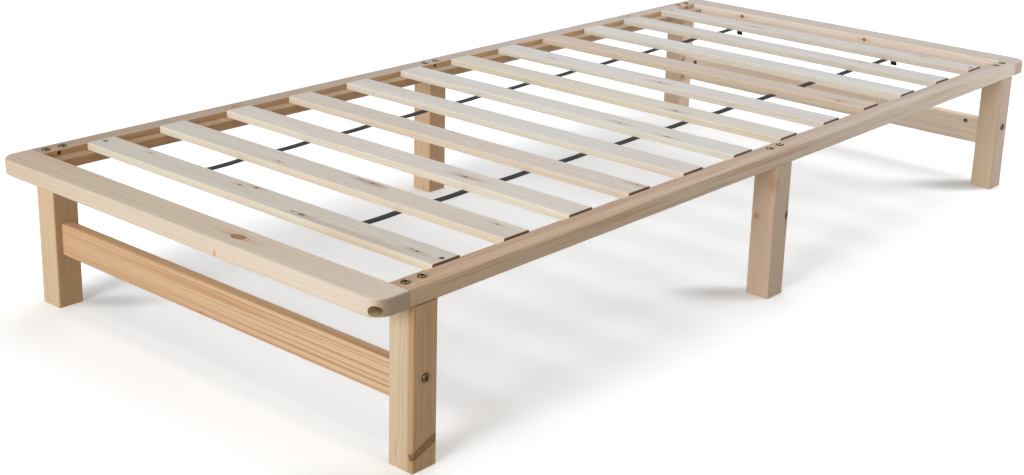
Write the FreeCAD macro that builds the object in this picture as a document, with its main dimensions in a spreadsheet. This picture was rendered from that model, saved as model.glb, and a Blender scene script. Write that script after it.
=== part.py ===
import FreeCAD, Part
import Sketcher
import math
import os
import re

# Low pine bed base. The floor is z = 0, the origin is on the floor under the middle of the bed,
# +X runs from the foot end to the head end and the near side is at -Y.

doc = FreeCAD.newDocument("pallet_bed")
sheet = doc.addObject("Spreadsheet::Sheet", "Sizes")

# Driving dimensions in millimetres
sizes = {
    # whole bed
    "bed_length": 2000,
    "bed_width": 900,
    "leg_length": 250,
    "board_thick": 28,
    # end rails and side rails
    "end_rail_width": 60,
    "corner_round": 30,
    "edge_round": 4,
    "side_rail_width": 60,
    "lip_width": 38,
    "rebate_depth": 11,
    "lip_round": 1.5,
    "peg_hole_dia": 8,
    "peg_hole_depth": 18,
    # legs
    "leg_side": 48,
    "leg_setback": 8,
    "leg_round": 3,
    # stretchers between the end legs
    "stretcher_height": 58,
    "stretcher_thick": 22,
    "stretcher_rise": 94,
    "stretcher_round": 4,
    # slats
    "slat_width": 56,
    "slat_thick": 12.5,
    "slat_end_gap": 2.5,
    "slat_shift_share": 0.7,
    "slat_rail_space": 87,
    "slat_round": 2,
    # webbing straps under the slats
    "strap_width": 14,
    "strap_thick": 1.5,
    "strap_foot_share": 0.228,
    "strap_head_share": 0.252,
    "strap_end_inset": 12,
    "tail_inset": 18,
    "tail_bend": 5,
    "tail_drop": 20,
    # connector bolts, with the same heads at all three kinds of joint
    "bolt_dia": 6,
    "bolt_head_dia": 14,
    "bolt_head_thick": 2.5,
    "bolt_head_bevel": 1,
    "bolt_socket_dia": 6,
    "bolt_socket_depth": 2,
    "bolt_tip_gap": 3,
    "leg_bolt_length": 70,
    "leg_bolt_spacing": 32,
    "corner_bolt_length": 75,
    "corner_bolt_inset": 12,
    "corner_bolt_rise": 9.5,
    "corner_seat_depth": 30,
    "stretcher_bolt_past_nut": 8,
    "stretcher_bolt_drop": 12,
    # barrel nuts and wooden dowels
    "barrel_dia": 10,
    "barrel_length": 14,
    "barrel_inset": 34,
    "dowel_dia": 8,
    "dowel_length": 40,
    "dowel_gap": 0.5,
    "stretcher_dowel_rise": 16,
    # slat screws
    "screw_dia": 3.5,
    "screw_head_dia": 9,
    "screw_head_depth": 2.5,
    "screw_length": 24,
    "screw_ledge_share": 0.6,
    "screw_tip_gap": 1,
    # fits
    "bore_clearance": 0.3,
    "head_clearance": 1,
    "fit_clearance": 0.1,
    "overrun": 5,
}
slat_count = 12

# The fasteners and their bores repeat many times, so they are many-sided bars; the sides count
# in fours, so that a bolt and its bore line up whichever way they point
open_hole_sides = 24
seen_sides = 16
hidden_sides = 8
hex_sides = 6
bevel_lean = -45

for row, (alias, value) in enumerate(sizes.items(), 1):
    sheet.set(f"A{row}", alias)
    sheet.set(f"B{row}", str(value))
    sheet.setAlias(f"B{row}", alias)
doc.recompute()

tight = 1e-6
ends = {"foot": -1, "head": 1}
sides = {"near": -1, "far": 1}
nodes = []


# Helpers


def size(alias):
    return float(getattr(sheet, alias))


def formula(text):
    # each alias in the text gets the sheet's name in front of it
    return re.sub(r"[a-z_]+", lambda word: f"Sizes.{word.group()}", text)


def measure(text):
    return float(sheet.evalExpression(formula(text)))


def bind(thing, **formulas):
    for name, text in formulas.items():
        thing.setExpression(name, formula(text))


def turn(axis, degrees):
    return FreeCAD.Rotation(FreeCAD.Vector(*axis), degrees)


def place(thing, x="0", y="0", z="0", rotation=FreeCAD.Rotation()):
    thing.Placement = FreeCAD.Placement(FreeCAD.Vector(), rotation)
    for axis, text in zip("xyz", (x, y, z)):
        thing.setExpression(f"Placement.Base.{axis}", formula(text))


# rotations that point a bar's own +Z along a direction
toward_x = {1: turn((0, 1, 0), 90), -1: turn((0, 1, 0), -90)}
toward_y = {1: turn((1, 0, 0), -90), -1: turn((1, 0, 0), 90)}
upward = FreeCAD.Rotation()
downward = turn((1, 0, 0), 180)
half_turn = turn((0, 0, 1), 180)


def rod(way, sides_around, dia, length, x="0", y="0", z="0"):
    # a bar or bore that starts at x, y, z
    bar = doc.addObject("Part::Prism", "Rod")
    bar.Polygon = sides_around
    bind(bar, Circumradius=f"({dia}) / 2", Height=length)
    place(bar, x, y, z, way)
    return bar


def taper(way, sides_around, dia, length, x="0", y="0", z="0"):
    # a bar whose sides lean in
    outline = doc.addObject("Part::RegularPolygon", "TaperOutline")
    outline.Polygon = sides_around
    bind(outline, Circumradius=f"({dia}) / 2")
    place(outline, x, y, z, way)
    bar = doc.addObject("Part::Extrusion", "Taper")
    bar.Base = outline
    bar.DirMode = "Normal"
    bar.Solid = True
    bar.TaperAngle = bevel_lean
    bind(bar, LengthFwd=length)
    return bar


def block(length, width, height, x="0", y="0", z="0"):
    bar = doc.addObject("Part::Box", "Block")
    bind(bar, Length=length, Width=width, Height=height)
    place(bar, x, y, z)
    return bar


def fused(shapes):
    joined = doc.addObject("Part::MultiFuse", "Fused")
    joined.Shapes = shapes
    return joined


def cut(blank, tools):
    result = doc.addObject("Part::Cut", "Cut")
    result.Base = blank
    result.Tool = fused(tools) if len(tools) > 1 else tools[0]
    return result


def add_node(thing, label):
    thing.Label = label
    nodes.append(thing)


def copies(master, placements):
    # separate solids of one kind, one at each placement
    shapes = []
    for placement in placements:
        shape = master.Shape.copy()
        shape.Placement = placement
        shapes.append(shape)
    group = doc.addObject("Part::Feature", "Copies")
    group.Shape = Part.makeCompound(shapes)
    return group


def seats_of(bores, depth=0):
    # the places of the bores' mouths, or of points at a depth inside them
    inward = FreeCAD.Placement(FreeCAD.Vector(0, 0, depth), FreeCAD.Rotation())
    return [bore.Placement.multiply(inward) for bore in bores]


def new_sketch(body, role):
    sketch = body.newObject("Sketcher::SketchObject", "Outline")
    plane = next(feature for feature in body.Origin.OriginFeatures if feature.Role == role)
    sketch.AttachmentSupport = [(plane, "")]
    sketch.MapMode = "FlatFace"
    return sketch


def closed_outline(sketch, points, lengths):
    # lines through the points, by turns level and upright, with the first point on the origin;
    # lengths gives the formulas of the lines that carry a dimension
    corners = [FreeCAD.Vector(across, up, 0) for across, up in points]
    count = len(corners)
    for number, start in enumerate(corners):
        sketch.addGeometry(Part.LineSegment(start, corners[(number + 1) % count]), False)
    for number in range(count):
        sketch.addConstraint(Sketcher.Constraint("Coincident", number, 2, (number + 1) % count, 1))
        sketch.addConstraint(Sketcher.Constraint("Vertical" if number % 2 else "Horizontal", number))
    sketch.addConstraint(Sketcher.Constraint("Coincident", 0, 1, -1, 1))
    for number, text in lengths.items():
        now = corners[number].distanceToPoint(corners[(number + 1) % count])
        index = sketch.addConstraint(Sketcher.Constraint("Distance", number, now))
        sketch.renameConstraint(index, f"line_{number}")
        sketch.setExpression(f"Constraints.line_{number}", formula(text))


def padded(body, sketch, length):
    pad = body.newObject("PartDesign::Pad", "Pad")
    pad.Profile = sketch
    bind(pad, Length=length)
    doc.recompute()
    return pad


def rounded(body, base, wanted, radius):
    # a fillet on each edge of the base feature that is wanted
    names = [f"Edge{number}" for number, edge in enumerate(base.Shape.Edges, 1) if wanted(edge)]
    fillet = body.newObject("PartDesign::Fillet", "Fillet")
    fillet.Base = (base, names)
    bind(fillet, Radius=radius)
    doc.recompute()
    return fillet


def same(first, second):
    return abs(first - second) < tight


def runs_along(edge, *axis):
    return same(abs(edge.tangentAt(edge.FirstParameter).dot(FreeCAD.Vector(*axis))), 1)


def board(name, along_x, along_y, along_z):
    # a squared board that stands on its own origin corner
    body = doc.addObject("PartDesign::Body", name)
    sketch = new_sketch(body, "XY_Plane")
    side = size("board_thick")
    closed_outline(sketch, [(0, 0), (side, 0), (side, side), (0, side)], {0: along_x, 1: along_y})
    return body, padded(body, sketch, along_z)


# Places that several pieces share

rail_end = "(bed_length / 2 - end_rail_width)"
leg_middle = f"({rail_end} - leg_setback - leg_side / 2)"
leg_places = {"foot": f"-{leg_middle}", "mid": "0", "head": leg_middle}
ledge_height = "(leg_length + board_thick - rebate_depth)"
slat_length = "(bed_width - 2 * lip_width - 2 * slat_end_gap)"
slat_shift = "slat_shift_share * slat_end_gap"
slat_run = "(bed_length - 2 * end_rail_width - 2 * slat_rail_space - slat_width)"
slat_places = [f"({number / (slat_count - 1) - 0.5}) * {slat_run}" for number in range(slat_count)]
stretcher_bolt_length = "(leg_side + barrel_inset + barrel_dia / 2 + stretcher_bolt_past_nut)"
bore_dia = "bolt_dia + 2 * bore_clearance"
dowel_bore_dia = "dowel_dia + 2 * fit_clearance"
dowel_bore_length = "dowel_length + 2 * dowel_gap"
dowel_half = "dowel_length / 2 + dowel_gap"


# Bores for the leg bolts: two through the side rail into the top of each leg

leg_bolt_bores = {}
for end, along in leg_places.items():
    for side, sign in sides.items():
        across = f"{sign} * (bed_width - leg_side) / 2"
        seat = "leg_length + board_thick"
        depth = "leg_bolt_length + bolt_tip_gap"
        leg_bolt_bores[end, side] = []
        for hand in (-1, 1):
            spot = (f"{along} + {hand} * leg_bolt_spacing / 2", across, seat)
            leg_bolt_bores[end, side].append(rod(downward, hidden_sides, bore_dia, depth, *spot))

# Blind hole in the rebate wall over the middle of each leg

peg_holes = {}
for end, along in leg_places.items():
    for side, sign in sides.items():
        mouth = f"{sign} * (bed_width / 2 - lip_width - overrun)"
        height = "leg_length + board_thick - rebate_depth / 2"
        depth = "peg_hole_depth + overrun"
        spot = (along, mouth, height)
        peg_holes[end, side] = rod(toward_y[sign], open_hole_sides, "peg_hole_dia", depth, *spot)

# Bores for the corner bolts, which are deep in the end rails, and for the dowels beside them

corner_bores = {}
corner_recesses = {}
corner_dowel_bores = {}
for end, way in ends.items():
    for side, sign in sides.items():
        seat = f"{way} * (bed_length / 2 - corner_seat_depth)"
        across = f"{sign} * (bed_width / 2 - corner_bolt_inset)"
        spot = (seat, across, "leg_length + corner_bolt_rise")
        depth = "corner_bolt_length + bolt_tip_gap"
        sink = "corner_seat_depth + overrun"
        recess_dia = "bolt_head_dia + 2 * head_clearance"
        corner_bores[end, side] = rod(toward_x[-way], hidden_sides, bore_dia, depth, *spot)
        corner_recesses[end, side] = rod(toward_x[way], open_hole_sides, recess_dia, sink, *spot)
        start = f"{way} * ({rail_end} + {dowel_half})"
        across = f"{sign} * (bed_width - lip_width - side_rail_width) / 2"
        spot = (start, across, "leg_length + (board_thick - rebate_depth) / 2")
        corner_dowel_bores[end, side] = rod(
            toward_x[-way], hidden_sides, dowel_bore_dia, dowel_bore_length, *spot
        )

# Bores for the stretcher bolts, their barrel nuts and the dowels below them

stretcher_bores = {}
barrel_bores = {}
stretcher_dowel_bores = {}
for end, way in ends.items():
    for side, sign in sides.items():
        height = "stretcher_rise + stretcher_height - stretcher_bolt_drop"
        spot = (leg_places[end], f"{sign} * bed_width / 2", height)
        depth = f"{stretcher_bolt_length} + bolt_tip_gap"
        stretcher_bores[end, side] = rod(toward_y[-sign], hidden_sides, bore_dia, depth, *spot)
        mouth = f"{way} * ({leg_middle} - stretcher_thick / 2)"
        across = f"{sign} * (bed_width / 2 - leg_side - barrel_inset)"
        barrel_bore_dia = "barrel_dia + 2 * fit_clearance"
        depth = "(stretcher_thick + barrel_length) / 2"
        barrel_bores[end, side] = rod(
            toward_x[way], seen_sides, barrel_bore_dia, depth, mouth, across, height
        )
        start = f"{sign} * (bed_width / 2 - leg_side + {dowel_half})"
        spot = (leg_places[end], start, "stretcher_rise + stretcher_dowel_rise")
        stretcher_dowel_bores[end, side] = rod(
            toward_y[-sign], hidden_sides, dowel_bore_dia, dowel_bore_length, *spot
        )

# Sunk holes at both ends of the first and the last slat

screwed_slats = (0, slat_count - 1)
screw_bores = {}
screw_sinks = {}
for number in screwed_slats:
    for side, sign in sides.items():
        on_ledge = "screw_ledge_share * (side_rail_width - lip_width)"
        across = f"{sign} * (bed_width / 2 - lip_width - {on_ledge})"
        spot = (slat_places[number], across, f"{ledge_height} + slat_thick - screw_head_depth")
        narrow = "screw_dia + 2 * fit_clearance"
        wide = "screw_head_dia + 2 * fit_clearance"
        depth = "screw_length + screw_tip_gap"
        sink = "screw_head_depth + overrun"
        screw_bores[number, side] = rod(downward, hidden_sides, narrow, depth, *spot)
        screw_sinks[number, side] = rod(upward, seen_sides, wide, sink, *spot)


# End rails: boards with rounded outer corners and edges

facing = {-1: upward, 1: half_turn}
for end, way in ends.items():
    body, blank = board("EndRail", "end_rail_width", "bed_width", "board_thick")
    place(body, f"{way} * bed_length / 2", f"{way} * bed_width / 2", "leg_length", facing[way])
    corners = rounded(
        body, blank, lambda edge: runs_along(edge, 0, 0, 1) and same(edge.CenterOfMass.x, 0), "corner_round"
    )
    inner_edge = size("end_rail_width")
    rounded(
        body,
        corners,
        lambda edge: same(edge.BoundBox.ZLength, 0) and not same(edge.CenterOfMass.x, inner_edge),
        "edge_round",
    )
    tools = []
    for side in sides:
        tools += [corner_bores[end, side], corner_recesses[end, side], corner_dowel_bores[end, side]]
    add_node(cut(body, tools), f"end_rail_{end}")

# Side rails: rebated boards, with the lip on the outside and the slat ledge on the inside

for side, sign in sides.items():
    body = doc.addObject("PartDesign::Body", "SideRail")
    sketch = new_sketch(body, "YZ_Plane")
    width, lip, top = size("side_rail_width"), size("lip_width"), size("board_thick")
    ledge = top - size("rebate_depth")
    section = [(0, 0), (width, 0), (width, ledge), (lip, ledge), (lip, top), (0, top)]
    lengths = {0: "side_rail_width", 3: "rebate_depth", 4: "lip_width", 5: "board_thick"}
    closed_outline(sketch, section, lengths)
    blank = padded(body, sketch, f"2 * {rail_end}")
    place(body, f"{sign} * {rail_end}", f"{sign} * bed_width / 2", "leg_length", facing[sign])
    outer = rounded(
        body, blank, lambda edge: runs_along(edge, 1, 0, 0) and same(edge.CenterOfMass.y, 0), "edge_round"
    )
    lip_corner = FreeCAD.Vector(size("bed_length") / 2 - size("end_rail_width"), lip, top)
    rounded(
        body,
        outer,
        lambda edge: runs_along(edge, 1, 0, 0)
        and (same(edge.CenterOfMass.y, width) or same(edge.CenterOfMass.distanceToPoint(lip_corner), 0)),
        "lip_round",
    )
    tools = [screw_bores[number, side] for number in screwed_slats]
    for end in leg_places:
        tools += leg_bolt_bores[end, side] + [peg_holes[end, side]]
    for end in ends:
        tools += [corner_bores[end, side], corner_dowel_bores[end, side]]
    add_node(cut(body, tools), f"side_rail_{side}")

# Legs: square posts, flush with the outer faces of the side rails

for end, along in leg_places.items():
    for side, sign in sides.items():
        body, blank = board("Leg", "leg_side", "leg_side", "leg_length")
        place(body, f"{along} - leg_side / 2", f"{sign} * (bed_width - leg_side) / 2 - leg_side / 2")
        rounded(body, blank, lambda edge: runs_along(edge, 0, 0, 1), "leg_round")
        tools = list(leg_bolt_bores[end, side])
        if end in ends:
            tools += [stretcher_bores[end, side], stretcher_dowel_bores[end, side]]
        add_node(cut(body, tools), f"leg_{end}_{side}")

# Stretchers: low cross rails with rounded edges, in line with the middles of the end legs

for end, way in ends.items():
    body, blank = board("Stretcher", "stretcher_thick", "bed_width - 2 * leg_side", "stretcher_height")
    across = "-(bed_width / 2 - leg_side)"
    place(body, f"{leg_places[end]} - stretcher_thick / 2", across, "stretcher_rise")
    rounded(body, blank, lambda edge: runs_along(edge, 0, 1, 0), "stretcher_round")
    tools = []
    for side in sides:
        tools += [stretcher_bores[end, side], barrel_bores[end, side], stretcher_dowel_bores[end, side]]
    add_node(cut(body, tools), f"stretcher_{end}")

# Slats: boards with rounded upper edges, the first and the last drilled for screws

for number, along in enumerate(slat_places):
    body, blank = board("Slat", "slat_width", slat_length, "slat_thick")
    place(body, f"{along} - slat_width / 2", f"{slat_shift} - {slat_length} / 2", ledge_height)
    upper_side = size("slat_thick")
    rounded(
        body,
        blank,
        lambda edge: runs_along(edge, 0, 1, 0) and same(edge.CenterOfMass.z, upper_side),
        "slat_round",
    )
    slat = body
    if number in screwed_slats:
        tools = []
        for side in sides:
            tools += [screw_bores[number, side], screw_sinks[number, side]]
        slat = cut(body, tools)
    add_node(slat, f"slat_{number + 1:02d}")

# Straps: webbing from the first slat to the last, ending in a short tail that hangs down

strap_run = f"({slat_run} + slat_width - strap_end_inset - tail_inset)"
for side, sign in sides.items():
    edge = "-strap_width / 2"
    band = block(strap_run, "strap_width", "strap_thick", "0", edge, "-strap_thick")
    bend = doc.addObject("Part::Cylinder", "Bend")
    bend.Angle = 90
    hollow = doc.addObject("Part::Cylinder", "BendHollow")
    bind(bend, Radius="tail_bend + strap_thick", Height="strap_width")
    bind(hollow, Radius="tail_bend", Height="strap_width")
    for thing in (bend, hollow):
        place(thing, strap_run, "strap_width / 2", "-strap_thick - tail_bend", toward_y[-1])
    tail_length = "tail_drop - strap_thick - tail_bend"
    tail = block("strap_thick", "strap_width", tail_length, f"{strap_run} + tail_bend", edge, "-tail_drop")
    strap = fused([band, cut(bend, [hollow]), tail])
    spread = measure(f"(strap_head_share - strap_foot_share) * {slat_length}")
    slant = turn((0, 0, 1), math.degrees(math.atan2(sign * spread, measure(slat_run))))
    start = f"{slat_places[0]} - slat_width / 2 + strap_end_inset"
    place(strap, start, f"{sign} * strap_foot_share * {slat_length}", ledge_height, slant)
    add_node(strap, f"strap_{side}")


# Fasteners: each kind is made once, pointing down its bore, and copied to every bore


def connector_bolt(length):
    # the head is outside the seat and the shank inside the bore
    straight = "(bolt_head_thick - bolt_head_bevel)"
    shank = rod(upward, hidden_sides, "bolt_dia", length)
    head = rod(downward, seen_sides, "bolt_head_dia", straight)
    rim = taper(downward, seen_sides, "bolt_head_dia", "bolt_head_bevel", z=f"-{straight}")
    socket_length = "bolt_socket_depth + overrun"
    socket = rod(upward, hex_sides, "bolt_socket_dia", socket_length, z="-bolt_head_thick - overrun")
    return cut(fused([shank, head, rim]), [socket])


leg_bolt = connector_bolt("leg_bolt_length")
corner_bolt = connector_bolt("corner_bolt_length")
stretcher_bolt = connector_bolt(stretcher_bolt_length)

# the barrel nut's middle is its origin, and the bolt goes through it there
barrel = rod(upward, seen_sides, "barrel_dia", "barrel_length", z="-barrel_length / 2")
cross_hole_dia = "bolt_dia + 2 * fit_clearance"
cross_hole = rod(toward_y[1], hidden_sides, cross_hole_dia, "2 * barrel_dia", y="-barrel_dia")
barrel_nut = cut(barrel, [cross_hole])
dowel = rod(upward, hidden_sides, "dowel_dia", "dowel_length", z="dowel_gap")
screw_shank = rod(upward, hidden_sides, "screw_dia", "screw_length")
screw_head = rod(downward, seen_sides, "screw_head_dia", "screw_head_depth")
screw = fused([screw_shank, screw_head])
doc.recompute()

add_node(copies(leg_bolt, seats_of(sum(leg_bolt_bores.values(), []))), "leg_bolts")
add_node(copies(corner_bolt, seats_of(corner_bores.values())), "corner_bolts")
add_node(copies(stretcher_bolt, seats_of(stretcher_bores.values())), "stretcher_bolts")
add_node(copies(barrel_nut, seats_of(barrel_bores.values(), size("stretcher_thick") / 2)), "barrel_nuts")
add_node(copies(dowel, seats_of(corner_dowel_bores.values())), "corner_dowels")
add_node(copies(dowel, seats_of(stretcher_dowel_bores.values())), "stretcher_dowels")
add_node(copies(screw, seats_of(screw_bores.values())), "slat_screws")
doc.recompute()


# Check every object and write the files

for thing in doc.Objects:
    if "Invalid" in thing.State or "Error" in thing.State:
        raise RuntimeError(f"{thing.Label} did not build: {thing.State}")
os.makedirs("parts", exist_ok=True)
for node in nodes:
    if node.Shape.isNull() or not node.Shape.isValid():
        raise RuntimeError(f"{node.Label} has no valid shape")
    node.Shape.exportStep(f"parts/{node.Label}.step")
    print(node.Label, len(node.Shape.Solids), round(node.Shape.Volume))
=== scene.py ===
import math
import bpy
import numpy as np
from mathutils import Euler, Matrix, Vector


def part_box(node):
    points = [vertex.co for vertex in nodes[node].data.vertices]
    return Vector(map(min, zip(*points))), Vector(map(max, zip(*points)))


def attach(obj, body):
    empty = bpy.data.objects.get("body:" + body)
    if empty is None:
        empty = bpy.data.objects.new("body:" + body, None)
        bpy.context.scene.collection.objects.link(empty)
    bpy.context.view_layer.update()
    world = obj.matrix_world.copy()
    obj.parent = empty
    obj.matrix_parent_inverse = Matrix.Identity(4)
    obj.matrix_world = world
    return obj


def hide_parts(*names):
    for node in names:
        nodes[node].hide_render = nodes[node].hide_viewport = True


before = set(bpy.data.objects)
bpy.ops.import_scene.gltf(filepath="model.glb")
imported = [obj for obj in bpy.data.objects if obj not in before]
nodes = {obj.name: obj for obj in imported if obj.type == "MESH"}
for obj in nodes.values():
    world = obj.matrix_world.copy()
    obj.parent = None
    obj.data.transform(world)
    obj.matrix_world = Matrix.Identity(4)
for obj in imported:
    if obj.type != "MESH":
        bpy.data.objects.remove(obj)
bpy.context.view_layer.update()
scene = bpy.context.scene
mm = 0.001
print("frame loaded,", len(nodes), "nodes")


# small helpers for node trees

def fromScreen(red, green, blue):
    # a colour as a screen shows it, 0 to 255, to the linear value that the shader wants
    share = np.array((red, green, blue)) / 255
    linear = np.where(share < 0.04045, share / 12.92, ((share + 0.055) / 1.055) ** 2.4)
    return (*linear, 1.0)


def newMaterial(name):
    material = bpy.data.materials.new(name)
    material.use_nodes = True
    tree = material.node_tree
    shader = next(n for n in tree.nodes if n.type == "BSDF_PRINCIPLED")
    return material, tree, shader


def plug(tree, socket, value):
    if isinstance(value, bpy.types.NodeSocket):
        tree.links.new(value, socket)
    elif value is not None:
        socket.default_value = value


def calc(tree, operation, first, second=None, third=None, clamp=False):
    node = tree.nodes.new("ShaderNodeMath")
    node.operation = operation
    node.use_clamp = clamp
    for socket, value in zip(node.inputs, (first, second, third)):
        plug(tree, socket, value)
    return node.outputs[0]


def calcVector(tree, operation, first, second=None):
    node = tree.nodes.new("ShaderNodeVectorMath")
    node.operation = operation
    plug(tree, node.inputs[0], first)
    plug(tree, node.inputs[1], second)
    return node.outputs["Value" if operation == "LENGTH" else "Vector"]


def noise(tree, vector, scale, detail=2.0, roughness=0.5):
    node = tree.nodes.new("ShaderNodeTexNoise")
    plug(tree, node.inputs["Vector"], vector)
    node.inputs["Scale"].default_value = scale
    node.inputs["Detail"].default_value = detail
    node.inputs["Roughness"].default_value = roughness
    return node.outputs


def spread(tree, value, low, high):
    # a smooth step from 0 at low to 1 at high
    node = tree.nodes.new("ShaderNodeMapRange")
    node.interpolation_type = "SMOOTHSTEP"
    for socket, number in zip(node.inputs, (value, low, high)):
        plug(tree, socket, number)
    return node.outputs[0]


def mixed(tree, factor, first, second, blend="MIX"):
    node = tree.nodes.new("ShaderNodeMix")
    node.data_type = "RGBA"
    node.blend_type = blend
    plug(tree, node.inputs["Factor"], factor)
    plug(tree, node.inputs[6], first)
    plug(tree, node.inputs[7], second)
    return node.outputs[2]


def bumped(tree, shader, height, strength, distance):
    node = tree.nodes.new("ShaderNodeBump")
    node.inputs["Strength"].default_value = strength
    node.inputs["Distance"].default_value = distance
    plug(tree, node.inputs["Height"], height)
    plug(tree, shader.inputs["Normal"], node.outputs[0])


# pine: growth rings round a wandering pith, fine lines, soft bands of colour, and knots with wisps; with
# painted light and shade by the way a face looks and in the holes

pine = {
    "wander": 30 * mm,          # slow bend of the rings along the board
    "wobble": 1.6 * mm,         # small unevenness of the rings
    "uneven": 2.6,              # how many rings their spacing strays by
    "lateWood": (0.80, 0.66, 0.50, 1),
    "pink": (0.98, 0.91, 0.86, 1),
    "straw": (1.0, 0.985, 0.955, 1),
    "line": (0.72, 0.58, 0.46, 1),
    "seam": (0.55, 0.44, 0.36, 1),
    "heart": (0.87, 0.81, 0.73, 1),
    "knotRim": fromScreen(128, 96, 70),
    "knotHeart": fromScreen(164, 124, 92),
    "wisp": (0.86, 0.73, 0.66, 1),
    "mark": (0.95, 0.58, 0.52, 1),
    # painted shade: a darker, more orange tint for the faces of the side rails that look into the bed
    "inward": (1.07, 0.84, 0.57, 1),
    "ledge": (0.95, 0.86, 0.70, 1),
    # painted light: a lighter tint for faces that look down, against the shade in the groove where a rail's
    # rounded lower edge meets a leg
    "under": (1.45, 1.45, 1.45, 1),
    "paintedBoreShading": [(1.15, 1.06, 0.82, 1), (0.84, 0.68, 0.46, 1)],    # painted light at a hole's mouth and painted shade deep down
    "paintedBoreShadingDepth": (20, 3),      # mm off the board's middle
    # darker end grain; on the slats and the head rail this tint is darker still, painted shade
    "endGrainAndShade": (0.67, 0.58, 0.50, 1),
    "roughness": 0.58, "glossSpread": 0.18, "specular": 0.32,
    "bump": (0.22, 0.35 * mm),  # strength and depth of the grain
    "swell": 2.4,               # how many rings a knot pushes aside
    "swellFade": 0.16,
    "lateRise": (0.25, 0.88), "lateFall": (1.0, 0.9),           # dark wood within each year's ring
    "lateLeast": 0.12, "lateMore": 0.9,                         # its share where plain, and more where patchy
    "plain": 0.89, "fibres": 0.22,                              # lightness of the wood, and the fibres' share
    # noise: features per metre along and across the grain, then detail and roughness
    "slowNoise": (1.9, 4.2, 1.0), "smallNoise": (16, 96), "fibreNoise": (7, 520, 3.0, 0.6),
    "streakNoise": (2.2, 95), "bandNoise": (0.9, 34, 1.0), "blotchNoise": (3, 16), "gritNoise": 330,
    # where each noise sets in and where it is full
    "patchSpan": (0.40, 0.62), "hueSpan": (0.38, 0.62), "lineSpan": (0.5, 0.66),
    "wispLong": (1.6, 3), "wispRagged": 1.6, "knotRagged": 0.9,
    # usual values, for boards without their own
    "ringPitch": 3.1, "straight": 1.0, "tilt": (0, 0), "lines": 0.35, "lineLength": 2.4, "lineCross": 300,
    "streaks": 0.2, "wispReach": 1.7, "seamWidth": 1.4, "faces": [], "bores": [], "marks": [], "knots": [],
}
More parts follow.
